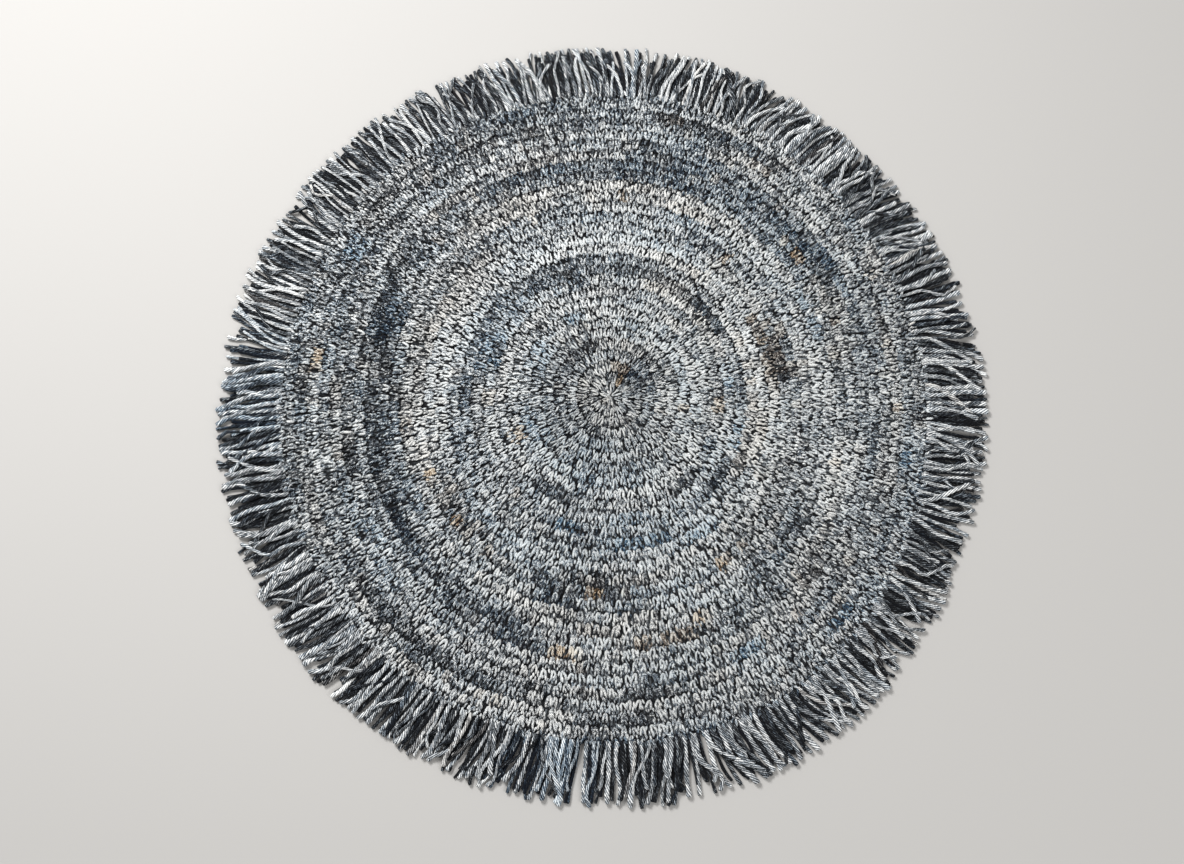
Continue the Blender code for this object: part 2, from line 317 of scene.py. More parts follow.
# Strands are thinner and closer at the top of the round: directions and shares of their
# radius. Then how loosely they wave and cross, as shares
STRAND_SLIM = ((0, 0.95), (60, 0.92), (85, 0.82), (155, 0.84), (185, 1.0), (300, 1.0),
               (360, 0.95))
STRAND_LOOSE = ((0, 0.85), (60, 0.8), (85, 0.55), (115, 0.85), (150, 0.85), (185, 1.0),
                (300, 1.0), (360, 0.85))
# Where the floor shows between strands that part by this much or more
OPEN_SHIFT = 0.010
OPEN_WAYS = ((36, 44), (262, 286))
# How much lighter the strands are by direction
FRINGE_TONES = ((15, 0.0), (45, 0.03), (75, 0.10), (105, 0.08), (135, 0.0), (165, 0.12),
                (195, -0.04), (225, 0.02), (255, -0.06), (285, -0.07), (315, -0.05), (345, -0.02))
# Blue strands: the middle direction, the reach to either side, and how blue
FRINGE_BLUE = ((178, 8, 0.24), (186, 6, 0.15), (261, 7, 0.32), (90, 5, 0.1))
FRINGE_BLUE_MIDDLE, FRINGE_BLUE_STRAY, FRINGE_BLUE_CHANCE = 0.03, 0.07, 0.7
FRINGE_TAN, FRINGE_TAN_CHANCE = 0.14, 0.06
# Legs of the knots that hold the fringe, in metres, degrees and legs
KNOT_LEGS = 520
KNOT_LENGTH, KNOT_LENGTH_STRAY = 0.0130, 0.0025
KNOT_INSIDE, KNOT_PLACE_STRAY = 0.005, 0.0030
KNOT_LEAN_DEG = 20
KNOT_HALF_WIDTH = 0.0021
KNOT_STRAY = 0.18
KNOT_Z, KNOT_THICK, KNOT_ARCH, KNOT_FALL = 0.0078, 0.0028, 0.0012, 0.0022
KNOT_Z_STRAY = 0.0004
KNOT_DARKER, KNOT_TONE_STRAY = 0.06, 0.2

# The ground below the stitches, in metres
GROUND_STEPS = 120
GROUND_MIDDLE_Z, GROUND_ROW_Z, GROUND_SEAM_Z = 0.0062, 0.0066, 0.0050
GROUND_EDGE_Z, GROUND_FOOT_Z = 0.0040, 0.0014
GROUND_INSIDE = 0.002
# Width of the rows and of the stitches in the pattern on its flat back
BACK_ROW, BACK_STITCH = 0.0183, 0.0056


def table(rows, column):
    return np.array([getattr(row, column) for row in rows], float)


def between(place, steps, period=None):
    """Value at a place, from a table of places and values."""
    places, values = np.array(steps).T
    return np.interp(place, places, values, period=period)


def around(angle, column):
    """Value of an outline column in a direction, in metres, eased between its rows."""
    values = table(OUTLINE, column) / 1000
    place = (np.degrees(angle) % 360) * len(values) / 360
    low = place.astype(int) if isinstance(place, np.ndarray) else int(place)
    part = place - low
    before, here, after, beyond = (values[(low + k) % len(values)] for k in (-1, 0, 1, 2))
    rise_here = (after - before) / 2
    rise_after = (beyond - here) / 2
    square = part * part
    cube = square * part
    return ((2 * cube - 3 * square + 1) * here + (cube - 2 * square + part) * rise_here
            + (3 * square - 2 * cube) * after + (cube - square) * rise_after)


def lean_at(angle):
    """How far a strand's tip leans counter-clockwise, between the locks on either side."""
    return float(np.interp(math.degrees(angle) % 360, table(LOCKS, "angle_deg"),
                           table(LOCKS, "lean_mm"), period=360)) / 1000


def turn_of(shift, length, share):
    return math.atan(shift * SWEEP_POWER * share ** (SWEEP_POWER - 1) / length)


def lay_strands():
    """Root direction, tip shift and length of the strands, as the solids have them. A bow is
    drawn for each too, to keep the others the same, and left out."""
    rng = random.Random(SEED)
    pitch = math.tau / STRANDS
    laid = []
    while len(laid) < STRANDS:
        count = min(rng.randint(GROUP_SMALLEST, GROUP_LARGEST), STRANDS - len(laid))
        lean = rng.uniform(-GROUP_LEAN, GROUP_LEAN)
        gather = rng.uniform(0, GROUP_GATHER)
        first = len(laid)
        for i in range(first, first + count):
            angle = (i + 0.5) * pitch
            from_middle = (i - first - (count - 1) / 2) * pitch * around(angle, "edge_mm")
            shift = (lean_at(angle) + lean - gather * from_middle
                     + rng.uniform(-STRAND_STRAY, STRAND_STRAY))
            length = around(angle, "fringe_mm") + rng.uniform(-LENGTH_STRAY, LENGTH_STRAY)
            laid.append([angle, shift, length, rng.uniform(-BOW, BOW)])
    for _ in range(SETTLE_ROUNDS):
        for i in range(STRANDS):
            one, two = laid[i - 1], laid[i]
            reach = around(one[0], "edge_mm") + min(one[2], two[2])
            apart = pitch * reach + two[1] - one[1]
            turn = max(abs(turn_of(one[1], one[2], 1)), abs(turn_of(two[1], two[2], 1)))
            least = TIP_PITCH_LEAST / math.cos(turn)
            if apart < least:
                push = (least - apart) / 2
                one[1] -= push
                two[1] += push
    return np.array(laid)[:, :3]


def yarn_form(sides, swell):
    """A closed length of yarn with a radius of one, drawn out of a ring and filled at its ends."""
    bm = bmesh.new()
    bmesh.ops.create_circle(bm, segments=sides, radius=swell[0][1])
    bmesh.ops.translate(bm, verts=bm.verts, vec=(0, 0, swell[0][0]))
    ring = bm.edges[:]
    for (before, width), (along, next_width) in zip(swell, swell[1:]):
        grown = bmesh.ops.extrude_edge_only(bm, edges=ring)["geom"]
        ring = [part for part in grown if isinstance(part, bmesh.types.BMEdge)]
        verts = [part for part in grown if isinstance(part, bmesh.types.BMVert)]
        bmesh.ops.translate(bm, verts=verts, vec=(0, 0, along - before))
        bmesh.ops.scale(bm, verts=verts, vec=(next_width / width, next_width / width, 1))
    bmesh.ops.holes_fill(bm, edges=bm.edges)
    bmesh.ops.recalc_face_normals(bm, faces=bm.faces)
    bm.verts.index_update()
    form = {"points": np.array([vert.co[:] for vert in bm.verts]), "corners": [], "sizes": [],
            "turns": [], "under": []}
    for face in bm.faces:
        turns = [math.atan2(vert.co.y, vert.co.x) / math.tau % 1 for vert in face.verts]
        if max(turns) - min(turns) > 0.5 and abs(face.normal.z) < 0.9:
            turns = [turn + (turn < 0.5) for turn in turns]
        form["corners"] += [vert.index for vert in face.verts]
        form["turns"] += turns
        form["sizes"].append(len(face.verts))
        form["under"] += [face.normal.y < -0.3] * len(face.verts)
    bm.free()
    return {key: np.array(value) for key, value in form.items()}


def lay_yarn(name, layers, material):
    """One mesh of many lengths of yarn. Each layer has a form, each length's own points, the
    lengths, and what each one is."""
    points, corners, sizes, twists, unders = [], [], [], [], []
    values = {key: [] for key in layers[0][3]}
    base = 0
    for form, places, lengths, kinds in layers:
        count, size = places.shape[:2]
        points.append(places.reshape(-1, 3))
        corners.append((base + form["corners"] + np.arange(count)[:, None] * size).ravel())
        base += count * size
        sizes.append(np.tile(form["sizes"], count))
        along = np.abs(form["points"][form["corners"], 2]) * lengths[:, None]
        twists.append(np.stack([along, np.broadcast_to(form["turns"], along.shape)], -1)
                      .reshape(-1, 2))
        unders.append(np.tile(form["under"], count))
        for key, value in kinds.items():
            values[key].append(np.repeat(value, size) if value.ndim == 1 else value.ravel())
    points, corners, sizes = np.concatenate(points), np.concatenate(corners), np.concatenate(sizes)
    mesh = bpy.data.meshes.new(name)
    mesh.vertices.add(len(points))
    mesh.vertices.foreach_set("co", points.ravel())
    mesh.loops.add(len(corners))
    mesh.loops.foreach_set("vertex_index", corners)
    mesh.polygons.add(len(sizes))
    mesh.polygons.foreach_set("loop_start", np.concatenate([[0], np.cumsum(sizes)[:-1]]))
    mesh.polygons.foreach_set("use_smooth", np.ones(len(sizes), bool))
    mesh.update(calc_edges=True)
    twist = np.concatenate(twists).astype(np.float32)
    mesh.uv_layers.new(name="twist").uv.foreach_set("vector", twist.ravel())
    # For baking, the rug as seen from above, and the yarn's undersides small at a corner
    flat = points[corners, :2]
    low, high = flat.min(0), flat.max(0)
    spread = 0.04 + 0.95 * (flat - low) / (high - low)
    under = np.concatenate(unders)
    spread[under] = 0.005 + 0.03 * (spread[under] - 0.04)
    mesh.uv_layers.new(name="OFBake").uv.foreach_set("vector", spread.astype(np.float32).ravel())
    for key, parts in values.items():
        layer = mesh.attributes.new(key, "FLOAT", "POINT")
        layer.data.foreach_set("value", np.concatenate(parts).astype(np.float32))
    mesh.uv_layers.active = mesh.uv_layers["twist"]
    mesh.uv_layers["twist"].active_render = True
    piece = bpy.data.objects.new(name, mesh)
    bpy.context.scene.collection.objects.link(piece)
    mesh.materials.append(material)
    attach(piece, "root")
    return piece


def spots(angle, radius, sideways, height):
    """Points at directions and distances from the middle of the rows, then moved sideways."""
    out = np.cos(angle), np.sin(angle)
    off = np.clip(1 - radius / EYE_REACH, 0, 1) ** 2
    return np.stack([MIDDLE[0] + EYE_SHIFT[0] * off + out[0] * radius - out[1] * sideways,
                     MIDDLE[1] + EYE_SHIFT[1] * off + out[1] * radius + out[0] * sideways,
                     height + 0 * radius], -1)


def streaks(angle, row, reach, seed):
    """A value from about -1 to 1 for each stitch, that changes slowly along a row, over about
    reach metres, and starts anew in the next row."""
    rng = np.random.default_rng(seed)
    out = np.zeros(len(row))
    whole = row.astype(int)
    for number in np.unique(whole):
        mine = whole == number
        count = max(3, round(math.tau * (number + 0.5) / ROWS * STREAK_EDGE / reach))
        knots = rng.normal(0, 0.6, count)
        place = (angle[mine] / math.tau % 1) * count + rng.uniform(0, 1)
        low = np.floor(place).astype(int)
        part = place - low
        part = part * part * (3 - 2 * part)
        out[mine] = knots[low % count] * (1 - part) + knots[(low + 1) % count] * part
    return out


def tones(angle, row, rng):
    """Tone, blueness and tan of the yarn at directions and rows."""
    degrees = np.degrees(angle) % 360
    pair = np.floor(row / 2) * 2

    def change(streak):
        return streak.amount * streaks(angle, pair if streak.in_pairs else row, streak.reach,
                                       streak.seed)

    tint = sum(change(streak) for streak in TINT_STREAKS)

    def tinted(kind):
        return (np.clip(kind.middle + kind.swing * tint, 0, 1)
                + np.clip(rng.normal(kind.stray_middle, kind.stray, len(row)), 0, 1))

    tone = between(row, ROW_TONES)
    for streak in STREAKS:
        tone = tone + change(streak)
    blue, tan = tinted(BLUE_TINT), tinted(TAN_TINT)
    broken = np.clip(BREAK_MIDDLE + change(BREAKS), BREAK_LEAST, BREAK_MOST)
    for patch in PATCHES:
        middle = (patch.from_deg + patch.to_deg) / 2
        reach = (patch.to_deg - patch.from_deg) / 2
        off = np.abs((degrees - middle + 180) % 360 - 180)
        fade = min(FADE_LEAST + reach * FADE_SHARE, FADE_MOST)
        inside = np.clip((reach - off) / fade + 0.5, 0, 1) if reach < 180 else 1.0
        share = inside * ((row > patch.row_from) & (row < patch.row_to))
        tone += patch.tone * share * broken
        blue += patch.blue * share * (rng.random(len(row)) < BLUE_CHANCE)
        tan += TAN_CHANGE * patch.tan * share * (rng.random(len(row)) < TAN_CHANCE)
    return TONE_MIDDLE + TONE_CHANGE * tone, np.clip(blue, 0, 1), np.clip(tan, 0, 1)


def stitch_turns(rng):
    """Row and direction of every stitch, with the turn that one stitch takes."""
    rows, turns, steps = [], [], []
    for row in range(ROWS):
        width = STITCH_WIDTH * fineness(row)
        count = max(4, round(math.tau * (row + 0.5) / ROWS * MEAN_EDGE / width))
        step = math.tau / count
        at = rng.uniform(0, step) + (np.arange(count)
                                     + rng.normal(0, STITCH_STRAY, count)) * step
        rows.append(np.full(count, row))
        turns.append(at)
        steps.append(np.full(count, step))
    return np.concatenate(rows), np.concatenate(turns), np.concatenate(steps)


def row_pitch(angle):
    return (around(angle, "edge_mm") - STRIP_WIDTH - PART_GAP) / ROWS


def fineness(row):
    return between(row, FINE_ROWS)


def loop_points(form, row, angle, rng):
    """Loops of yarn: out from one foot, round the bend and back to the other foot."""
    count = len(row)
    x, y, u = form["points"].T
    pitch = row_pitch(angle)[:, None]
    fine = fineness(row)
    half = (LOOP_HALF_WIDTH * fine * rng.normal(1, LOOP_STRAY.width, count))[:, None]
    deep = pitch * (LOOP_LENGTH * rng.normal(1, LOOP_STRAY.length, count))[:, None]
    thick = (LOOP_RADIUS * fine * rng.normal(1, LOOP_STRAY.thick, count))[:, None]
    lean = np.radians(rng.normal(0, LOOP_STRAY.lean_deg, count))[:, None]
    turn = u * math.pi / 2
    across, ahead = half * np.sin(turn), deep * (1 - np.cos(turn))
    slope = np.arctan2(deep * np.sin(turn), half * np.cos(turn))
    across = across + x * thick * np.sin(slope)
    ahead = ahead - x * thick * np.cos(slope)
    start = (row + LOOP_START + FIRST_START * (row == 0)
             + rng.normal(0, LOOP_STRAY.start, count))[:, None] * pitch
    radius = start + ahead * np.cos(lean) - across * np.sin(lean)
    sideways = ahead * np.sin(lean) + across * np.cos(lean)
    down = np.abs(u) ** LOOP_FALL_POWER
    height = (LOOP_BEND_Z + (LOOP_FOOT_Z - LOOP_BEND_Z) * down + y * thick
              + rng.normal(0, LOOP_STRAY.height, count)[:, None]
              + LOOP_STRAY.tilt * u * rng.normal(0, 1, count)[:, None])
    return spots(angle[:, None], radius, sideways, height), (2 * deep[:, 0] + half[:, 0]) / fine


def lobe_points(form, row, angle, lobe, step, rng):
    """Short lengths of yarn that lie outwards between the loops."""
    count = len(row)
    x, y, along = form["points"].T
    pitch = row_pitch(angle)[:, None]
    fine = fineness(row)
    length = pitch * (lobe.length * fine ** 0.5 * rng.normal(1, LOBE_STRAY.length, count))[:, None]
    lean = np.radians(lobe.lean + rng.normal(0, LOBE_STRAY.lean_deg, count))[:, None]
    across = x * (lobe.width / 2000 * fine * rng.normal(1, LOBE_STRAY.width, count))[:, None]
    ahead = (along - 0.5) * length
    bend = rng.normal(0, LOBE_STRAY.bend, count)[:, None] * ahead * np.abs(ahead) / length
    middle = (row + lobe.along + rng.normal(0, LOBE_STRAY.along, count))[:, None] * pitch
    turn = (angle + (lobe.across + rng.normal(0, LOBE_STRAY.across, count)) * step)[:, None]
    radius = middle + ahead * np.cos(lean) - across * np.sin(lean)
    sideways = ahead * np.sin(lean) + across * np.cos(lean) + bend
    arch = 1 - (2 * along - 1) ** 2
    height = (lobe.height / 1000 + rng.normal(0, LOBE_STRAY.height, count)[:, None]
              + y * LOBE_THICK + arch * LOBE_ARCH - LOBE_SINK)
    return spots(turn, radius, sideways, height), length[:, 0] / fine


def lay_stitches(material):
    """Every stitch of the round, in a few pieces by direction."""
    rng = np.random.default_rng(7)
    row, angle, step = stitch_turns(rng)
    tone, blue, tan = tones(angle, row + 0.5, rng)
    # Painted shade by direction: the outer side of each row darker, the loops and inner lobes
    # lighter
    row_shade = between(np.degrees(angle), PAINTED_ROW_SHADE, 360) * between(row, PAINTED_ROW_SHADE_ROWS)
    loop = yarn_form(LOOP_SIDES, LOOP_SWELL)
    groups = [(loop, *loop_points(loop, row, angle, rng), LOOP_PAINTED_LIGHT + PAINTED_ROW_SHADE_BALANCE * row_shade)]
    form = yarn_form(LOBE_SIDES, LOBE_SWELL)
    for lobe in LOBES:
        groups.append((form, *lobe_points(form, row, angle, lobe, step, rng),
                       -LOBE_PAINTED_SHADE - row_shade * (2 * max(0, lobe.along - 0.5) - PAINTED_ROW_SHADE_BALANCE)))
    sector = np.floor((angle % math.tau) / math.tau * SECTORS).astype(int)
    pieces = []
    for k in range(SECTORS):
        mine = sector == k
        layers = []
        # lighter holds each group's painted light and shade: the raised loops lighter, the lower
        # lobes darker, and the row shade by direction
        for form, places, lengths, lighter in groups:
            size = mine.sum()
            end = np.interp(form["points"][:, 2], form["points"][[0, -1], 2], (-1, 1))
            layers.append((form, places[mine], lengths[mine], {
                "tone": ((tone[mine] + lighter[mine]
                          + rng.normal(0, TONE_STRAY, size) / fineness(row[mine]))[:, None]
                         + rng.normal(0, END_STRAY, size)[:, None] * end),
                "blue": blue[mine], "tan": tan[mine], "chance": rng.random(size)}))
        pieces.append(lay_yarn(f"stitches_{k + 1}", layers, material))
    return pieces


def strand_points(form, angle, shift, length, radius, lift, wave, rng):
    """Strands from inside the edge out to their tips. lift gives the height of the middle."""
    x, y, along = form["points"].T
    angle, shift, length, radius = (value[:, None] for value in (angle, shift, length, radius))
    out = -ROOT_INSIDE + along * (length + ROOT_INSIDE)
    share = np.clip(out / length, 0, 1)
    start = rng.uniform(0, math.tau, angle.shape)
    curls = rng.uniform(CURLS_LEAST, CURLS_MOST, angle.shape)
    wave = wave * np.abs(rng.normal(0, 1, angle.shape))
    line = shift * share ** SWEEP_POWER + wave * share * np.sin(start + curls * share)
    slope = (shift * SWEEP_POWER * np.sqrt(share)
             + wave * curls * share * np.cos(start + curls * share)) / length
    turn = np.arctan(slope)
    plump = 1 + PLUMP * np.sin(2 * start + PLUMP_TURNS * curls * share)
    across = x * radius * plump
    return spots(angle, around(angle, "edge_mm") + out - across * np.sin(turn),
                 line + across * np.cos(turn), lift(share) + y * radius)


def lay_strand_piece(name, angle, shift, length, radius, lift, wave, tone, rng, material):
    form = yarn_form(STRAND_SIDES, STRAND_SWELL)
    places = strand_points(form, angle, shift, length, radius, lift, wave, rng)
    lighter = between(np.degrees(angle), FRINGE_TONES, 360)
    tone = ((tone + lighter)[:, None]
            + TIP_LIGHTER * np.clip((form["points"][:, 2] - TIP_FROM) / TIP_FADE, 0, 1))
    kinds = {"tone": tone, **fringe_tints(angle, rng), "chance": rng.random(len(angle))}
    return lay_yarn(name, [(form, places, length, kinds)], material)


def light_and_dark(count, rng):
    """Whether each strand in turn is light, with dark ones alone or in twos between them, and
    its tone."""
    light = np.ones(count, bool)
    at = 0
    while at < count:
        at += int(rng.integers(1, LIGHT_RUN + 1))
        dark = 1 + (rng.random() < DARK_TWOS)
        light[at:at + dark] = False
        at += dark
    return light, np.where(light, rng.normal(LIGHT_STRAND, LIGHT_STRAND_STRAY, count),
                           rng.normal(DARK_STRAND, DARK_STRAND_STRAY, count))


def lay_fringe(material):
    """Strands on the floor in the solids' places, darker ones between them where they lie close,
    charcoal yarn that also stands as painted shade in the gaps, others on top."""
    rng = np.random.default_rng(11)
    angle, shift, length = lay_strands().T
    light, tone = light_and_dark(STRANDS, rng)
    degrees = np.degrees(angle)
    slim = between(degrees, STRAND_SLIM)
    loose = between(degrees, STRAND_LOOSE)
    radius = (np.where(light, LIGHT_RADIUS, DARK_RADIUS) * slim
              * rng.normal(1, RADIUS_STRAY, STRANDS).clip(0.7, 1.3))
    pieces = [lay_strand_piece("fringe_strands", angle, shift, length, radius,
                               lambda share: (LIE_Z * radius[:, None] + ROOT_RISE
                                              * np.exp(-(share / ROOT_REACH) ** 2)),
                               WAVE * loose[:, None], tone, rng, material)]
    after = np.roll(shift, -1)
    open_way = np.any([(degrees > low) & (degrees < high) for low, high in OPEN_WAYS], 0)
    close = ~open_way | (after - shift < OPEN_SHIFT)
    # Strands below: charcoal yarn, and darker than it as painted shade in the gaps between the
    # strands above
    for k, mix in enumerate(UNDER_PLACES):
        low_shift = shift * (1 - mix) + after * mix + rng.normal(0, UNDER_CROSS, STRANDS)
        low_length = length * rng.uniform(UNDER_SHORTEST, UNDER_LONGEST, STRANDS)
        pieces.append(lay_strand_piece(
            f"fringe_strands_under_and_shade_{k + 1}", (angle + mix * math.tau / STRANDS)[close],
            low_shift[close], low_length[close], np.full(close.sum(), UNDER_RADIUS),
            lambda share: UNDER_Z + 0 * share, UNDER_WAVE,
            rng.normal(UNDER_TONE_AND_SHADE, UNDER_STRAY, close.sum()), rng, material))
    # More of the loose ones lie where the strands are thin
    odds = slim ** -4 / np.sum(slim ** -4)
    pick = np.sort(rng.choice(STRANDS, OVER_STRANDS, replace=False, p=odds))
    light, tone = light_and_dark(OVER_STRANDS, rng)
    over_angle = angle[pick] + rng.uniform(-0.5, 0.5, OVER_STRANDS) * math.tau / STRANDS
    pieces.append(lay_strand_piece(
        "fringe_strands_over", over_angle,
        shift[pick] + OVER_CROSS * loose[pick] * rng.standard_t(3, OVER_STRANDS).clip(-2.5, 2.5),
        length[pick] * rng.uniform(OVER_SHORTEST, 1.0, OVER_STRANDS),
        OVER_RADIUS * slim[pick] * rng.normal(1, OVER_RADIUS_STRAY, OVER_STRANDS).clip(0.6, 1.4),
        lambda share: (OVER_TIP_Z
                       + OVER_RISE * np.clip((1.05 - share) / OVER_REACH, 0, 1) ** 0.7),
        OVER_WAVE * loose[pick][:, None], tone, rng, material))
    return pieces


def fringe_tints(angle, rng):
    """Blue mostly at the left side and the foot of the fringe, a little tan here and there."""
    degrees = np.degrees(angle) % 360
    blue = np.clip(rng.normal(FRINGE_BLUE_MIDDLE, FRINGE_BLUE_STRAY, len(angle)), 0, 1)
    for middle, reach, amount in FRINGE_BLUE:
        off = np.abs((degrees - middle + 180) % 360 - 180)
        blue += amount * (off < reach) * (rng.random(len(angle)) < FRINGE_BLUE_CHANCE)
    tan = FRINGE_TAN * (rng.random(len(angle)) < FRINGE_TAN_CHANCE)
    return {"blue": np.clip(blue, 0, 1), "tan": tan}


def lay_knots(material):
    """The legs of the knots that hold the fringe: short lengths of yarn over the edge."""
    rng = np.random.default_rng(5)
    form = yarn_form(LOBE_SIDES, LOBE_SWELL)
    x, y, along = form["points"].T
    angle = (np.arange(KNOT_LEGS) + rng.normal(0, KNOT_STRAY, KNOT_LEGS)) * math.tau / KNOT_LEGS
    length = rng.normal(KNOT_LENGTH, KNOT_LENGTH_STRAY, KNOT_LEGS)[:, None]
    lean = np.radians(rng.normal(0, KNOT_LEAN_DEG, KNOT_LEGS))[:, None]
    across = x * KNOT_HALF_WIDTH
    ahead = (along - 0.5) * length
    middle = (around(angle, "edge_mm")[:, None] - KNOT_INSIDE
              + rng.normal(0, KNOT_PLACE_STRAY, KNOT_LEGS)[:, None])
    arch = 1 - (2 * along - 1) ** 2
    height = (KNOT_Z + y * KNOT_THICK + arch * KNOT_ARCH - KNOT_FALL * along
              + rng.normal(0, KNOT_Z_STRAY, KNOT_LEGS)[:, None])
    places = spots(angle[:, None], middle + ahead * np.cos(lean) - across * np.sin(lean),
                   ahead * np.sin(lean) + across * np.cos(lean), height)
    tone, blue, tan = tones(angle, np.full(KNOT_LEGS, ROWS + 0.5), rng)
    tone = tone - KNOT_DARKER + rng.normal(0, KNOT_TONE_STRAY, KNOT_LEGS)
    kinds = {"tone": tone, "blue": blue, "tan": tan, "chance": rng.random(KNOT_LEGS)}
    return lay_yarn("fringe_knots", [(form, places, length[:, 0], kinds)], material)


def lay_ground(material):
    """The close body of the cloth that the stitches stand on: flat below, rows above."""
    bm = bmesh.new()
    levels = [(0.0, GROUND_MIDDLE_Z)]
    for row in range(ROWS):
        levels += [((row + 0.45) / ROWS, GROUND_ROW_Z), ((row + 1) / ROWS, GROUND_SEAM_Z)]
    levels[-1] = (0.992, GROUND_SEAM_Z)
    levels += [(1.0, GROUND_EDGE_Z), (1.0, GROUND_FOOT_Z), (0.996, 0.0)]
    verts = [bm.verts.new((share, 0, height)) for share, height in levels]
    edges = [bm.edges.new(pair) for pair in zip(verts, verts[1:])]
    bmesh.ops.spin(bm, geom=verts + edges, cent=(0, 0, 0), axis=(0, 0, 1), angle=math.tau,
                   steps=GROUND_STEPS, use_merge=True)
    bmesh.ops.remove_doubles(bm, verts=bm.verts, dist=1e-6)
    bmesh.ops.edgeloop_fill(bm, edges=[edge for edge in bm.edges if edge.is_boundary])
    bmesh.ops.recalc_face_normals(bm, faces=bm.faces)
    for vert in bm.verts:
        share = math.hypot(vert.co.x, vert.co.y)
        angle = math.atan2(vert.co.y, vert.co.x)
        radius = share * (around(angle, "edge_mm") - GROUND_INSIDE)
        vert.co = Vector((MIDDLE[0] + math.cos(angle) * radius,
                          MIDDLE[1] + math.sin(angle) * radius, vert.co.z))
    mesh = bpy.data.meshes.new("crochet_ground_and_painted_shade")
    bm.to_mesh(mesh)
    bm.free()
    for face in mesh.polygons:
        face.use_smooth = len(face.vertices) < 5
    mesh.materials.append(material)
    piece = bpy.data.objects.new("crochet_ground_and_painted_shade", mesh)
    bpy.context.scene.collection.objects.link(piece)
    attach(piece, "root")
    return piece


def linear(hex_colour):
    """An sRGB hex value as a linear colour with full alpha."""
    parts = [int(hex_colour[i:i + 2], 16) / 255 for i in (1, 3, 5)]
    return tuple(p / 12.92 if p <= 0.04045 else ((p + 0.055) / 1.055) ** 2.4 for p in parts) + (1,)


def add(tree, kind, settings=None, **links):
    """A node with its settings. Links name an input: a socket, or a plain value."""
    node = tree.nodes.new(kind)
    for key, value in (settings or {}).items():
        setattr(node, key, value)
    for key, value in links.items():
        socket = node.inputs[int(key[1:]) if key[0] == "_" else key.replace("_", " ")]
        if isinstance(value, bpy.types.NodeSocket):
            tree.links.new(value, socket)
        else:
            socket.default_value = value
    return node


def maths(tree, operation, *values):
    """One sum on values or sockets."""
    links = {f"_{i}": value for i, value in enumerate(values)}
    return add(tree, "ShaderNodeMath", {"operation": operation}, **links).outputs[0]


def weighted(tree, start, *parts):
    """A value plus shares of others, each counted from its middle."""
    for value, middle, amount in parts:
        swing = maths(tree, "MULTIPLY", maths(tree, "SUBTRACT", value, middle), amount)
        start = maths(tree, "ADD", start, swing)
    return start


def new_material(name):
    material = bpy.data.materials.new(name)
    material.use_nodes = True
    tree = material.node_tree
    tree.nodes.clear()
    shader = add(tree, "ShaderNodeBsdfPrincipled")
    out = add(tree, "ShaderNodeOutputMaterial")
    tree.links.new(shader.outputs[0], out.inputs[0])
    return material, tree, shader


TONE_STOPS = ((0.0, "#0f1013"), (0.2, "#313437"), (0.42, "#666b6f"), (0.62, "#9b9fa2"),
              (0.82, "#ccced0"), (1.0, "#fdfdfa"))
BLUE_STOPS = ((0.0, "#0d1726"), (0.25, "#20384f"), (0.5, "#4a7190"), (0.75, "#95b3c7"),
              (1.0, "#dae6ec"))
TAN_STOPS = ((0.0, "#21170f"), (0.25, "#503a26"), (0.5, "#9b764b"), (0.75, "#cfb084"),
             (1.0, "#f0e6d4"))


def ramp(tree, stops, fac):
    node = add(tree, "ShaderNodeValToRGB", Fac=fac)
    bar = node.color_ramp
    for i, (place, colour) in enumerate(stops):
        stop = bar.elements[i] if i < 2 else bar.elements.new(place)
        stop.position = place
        stop.color = linear(colour)
    return node.outputs[0]


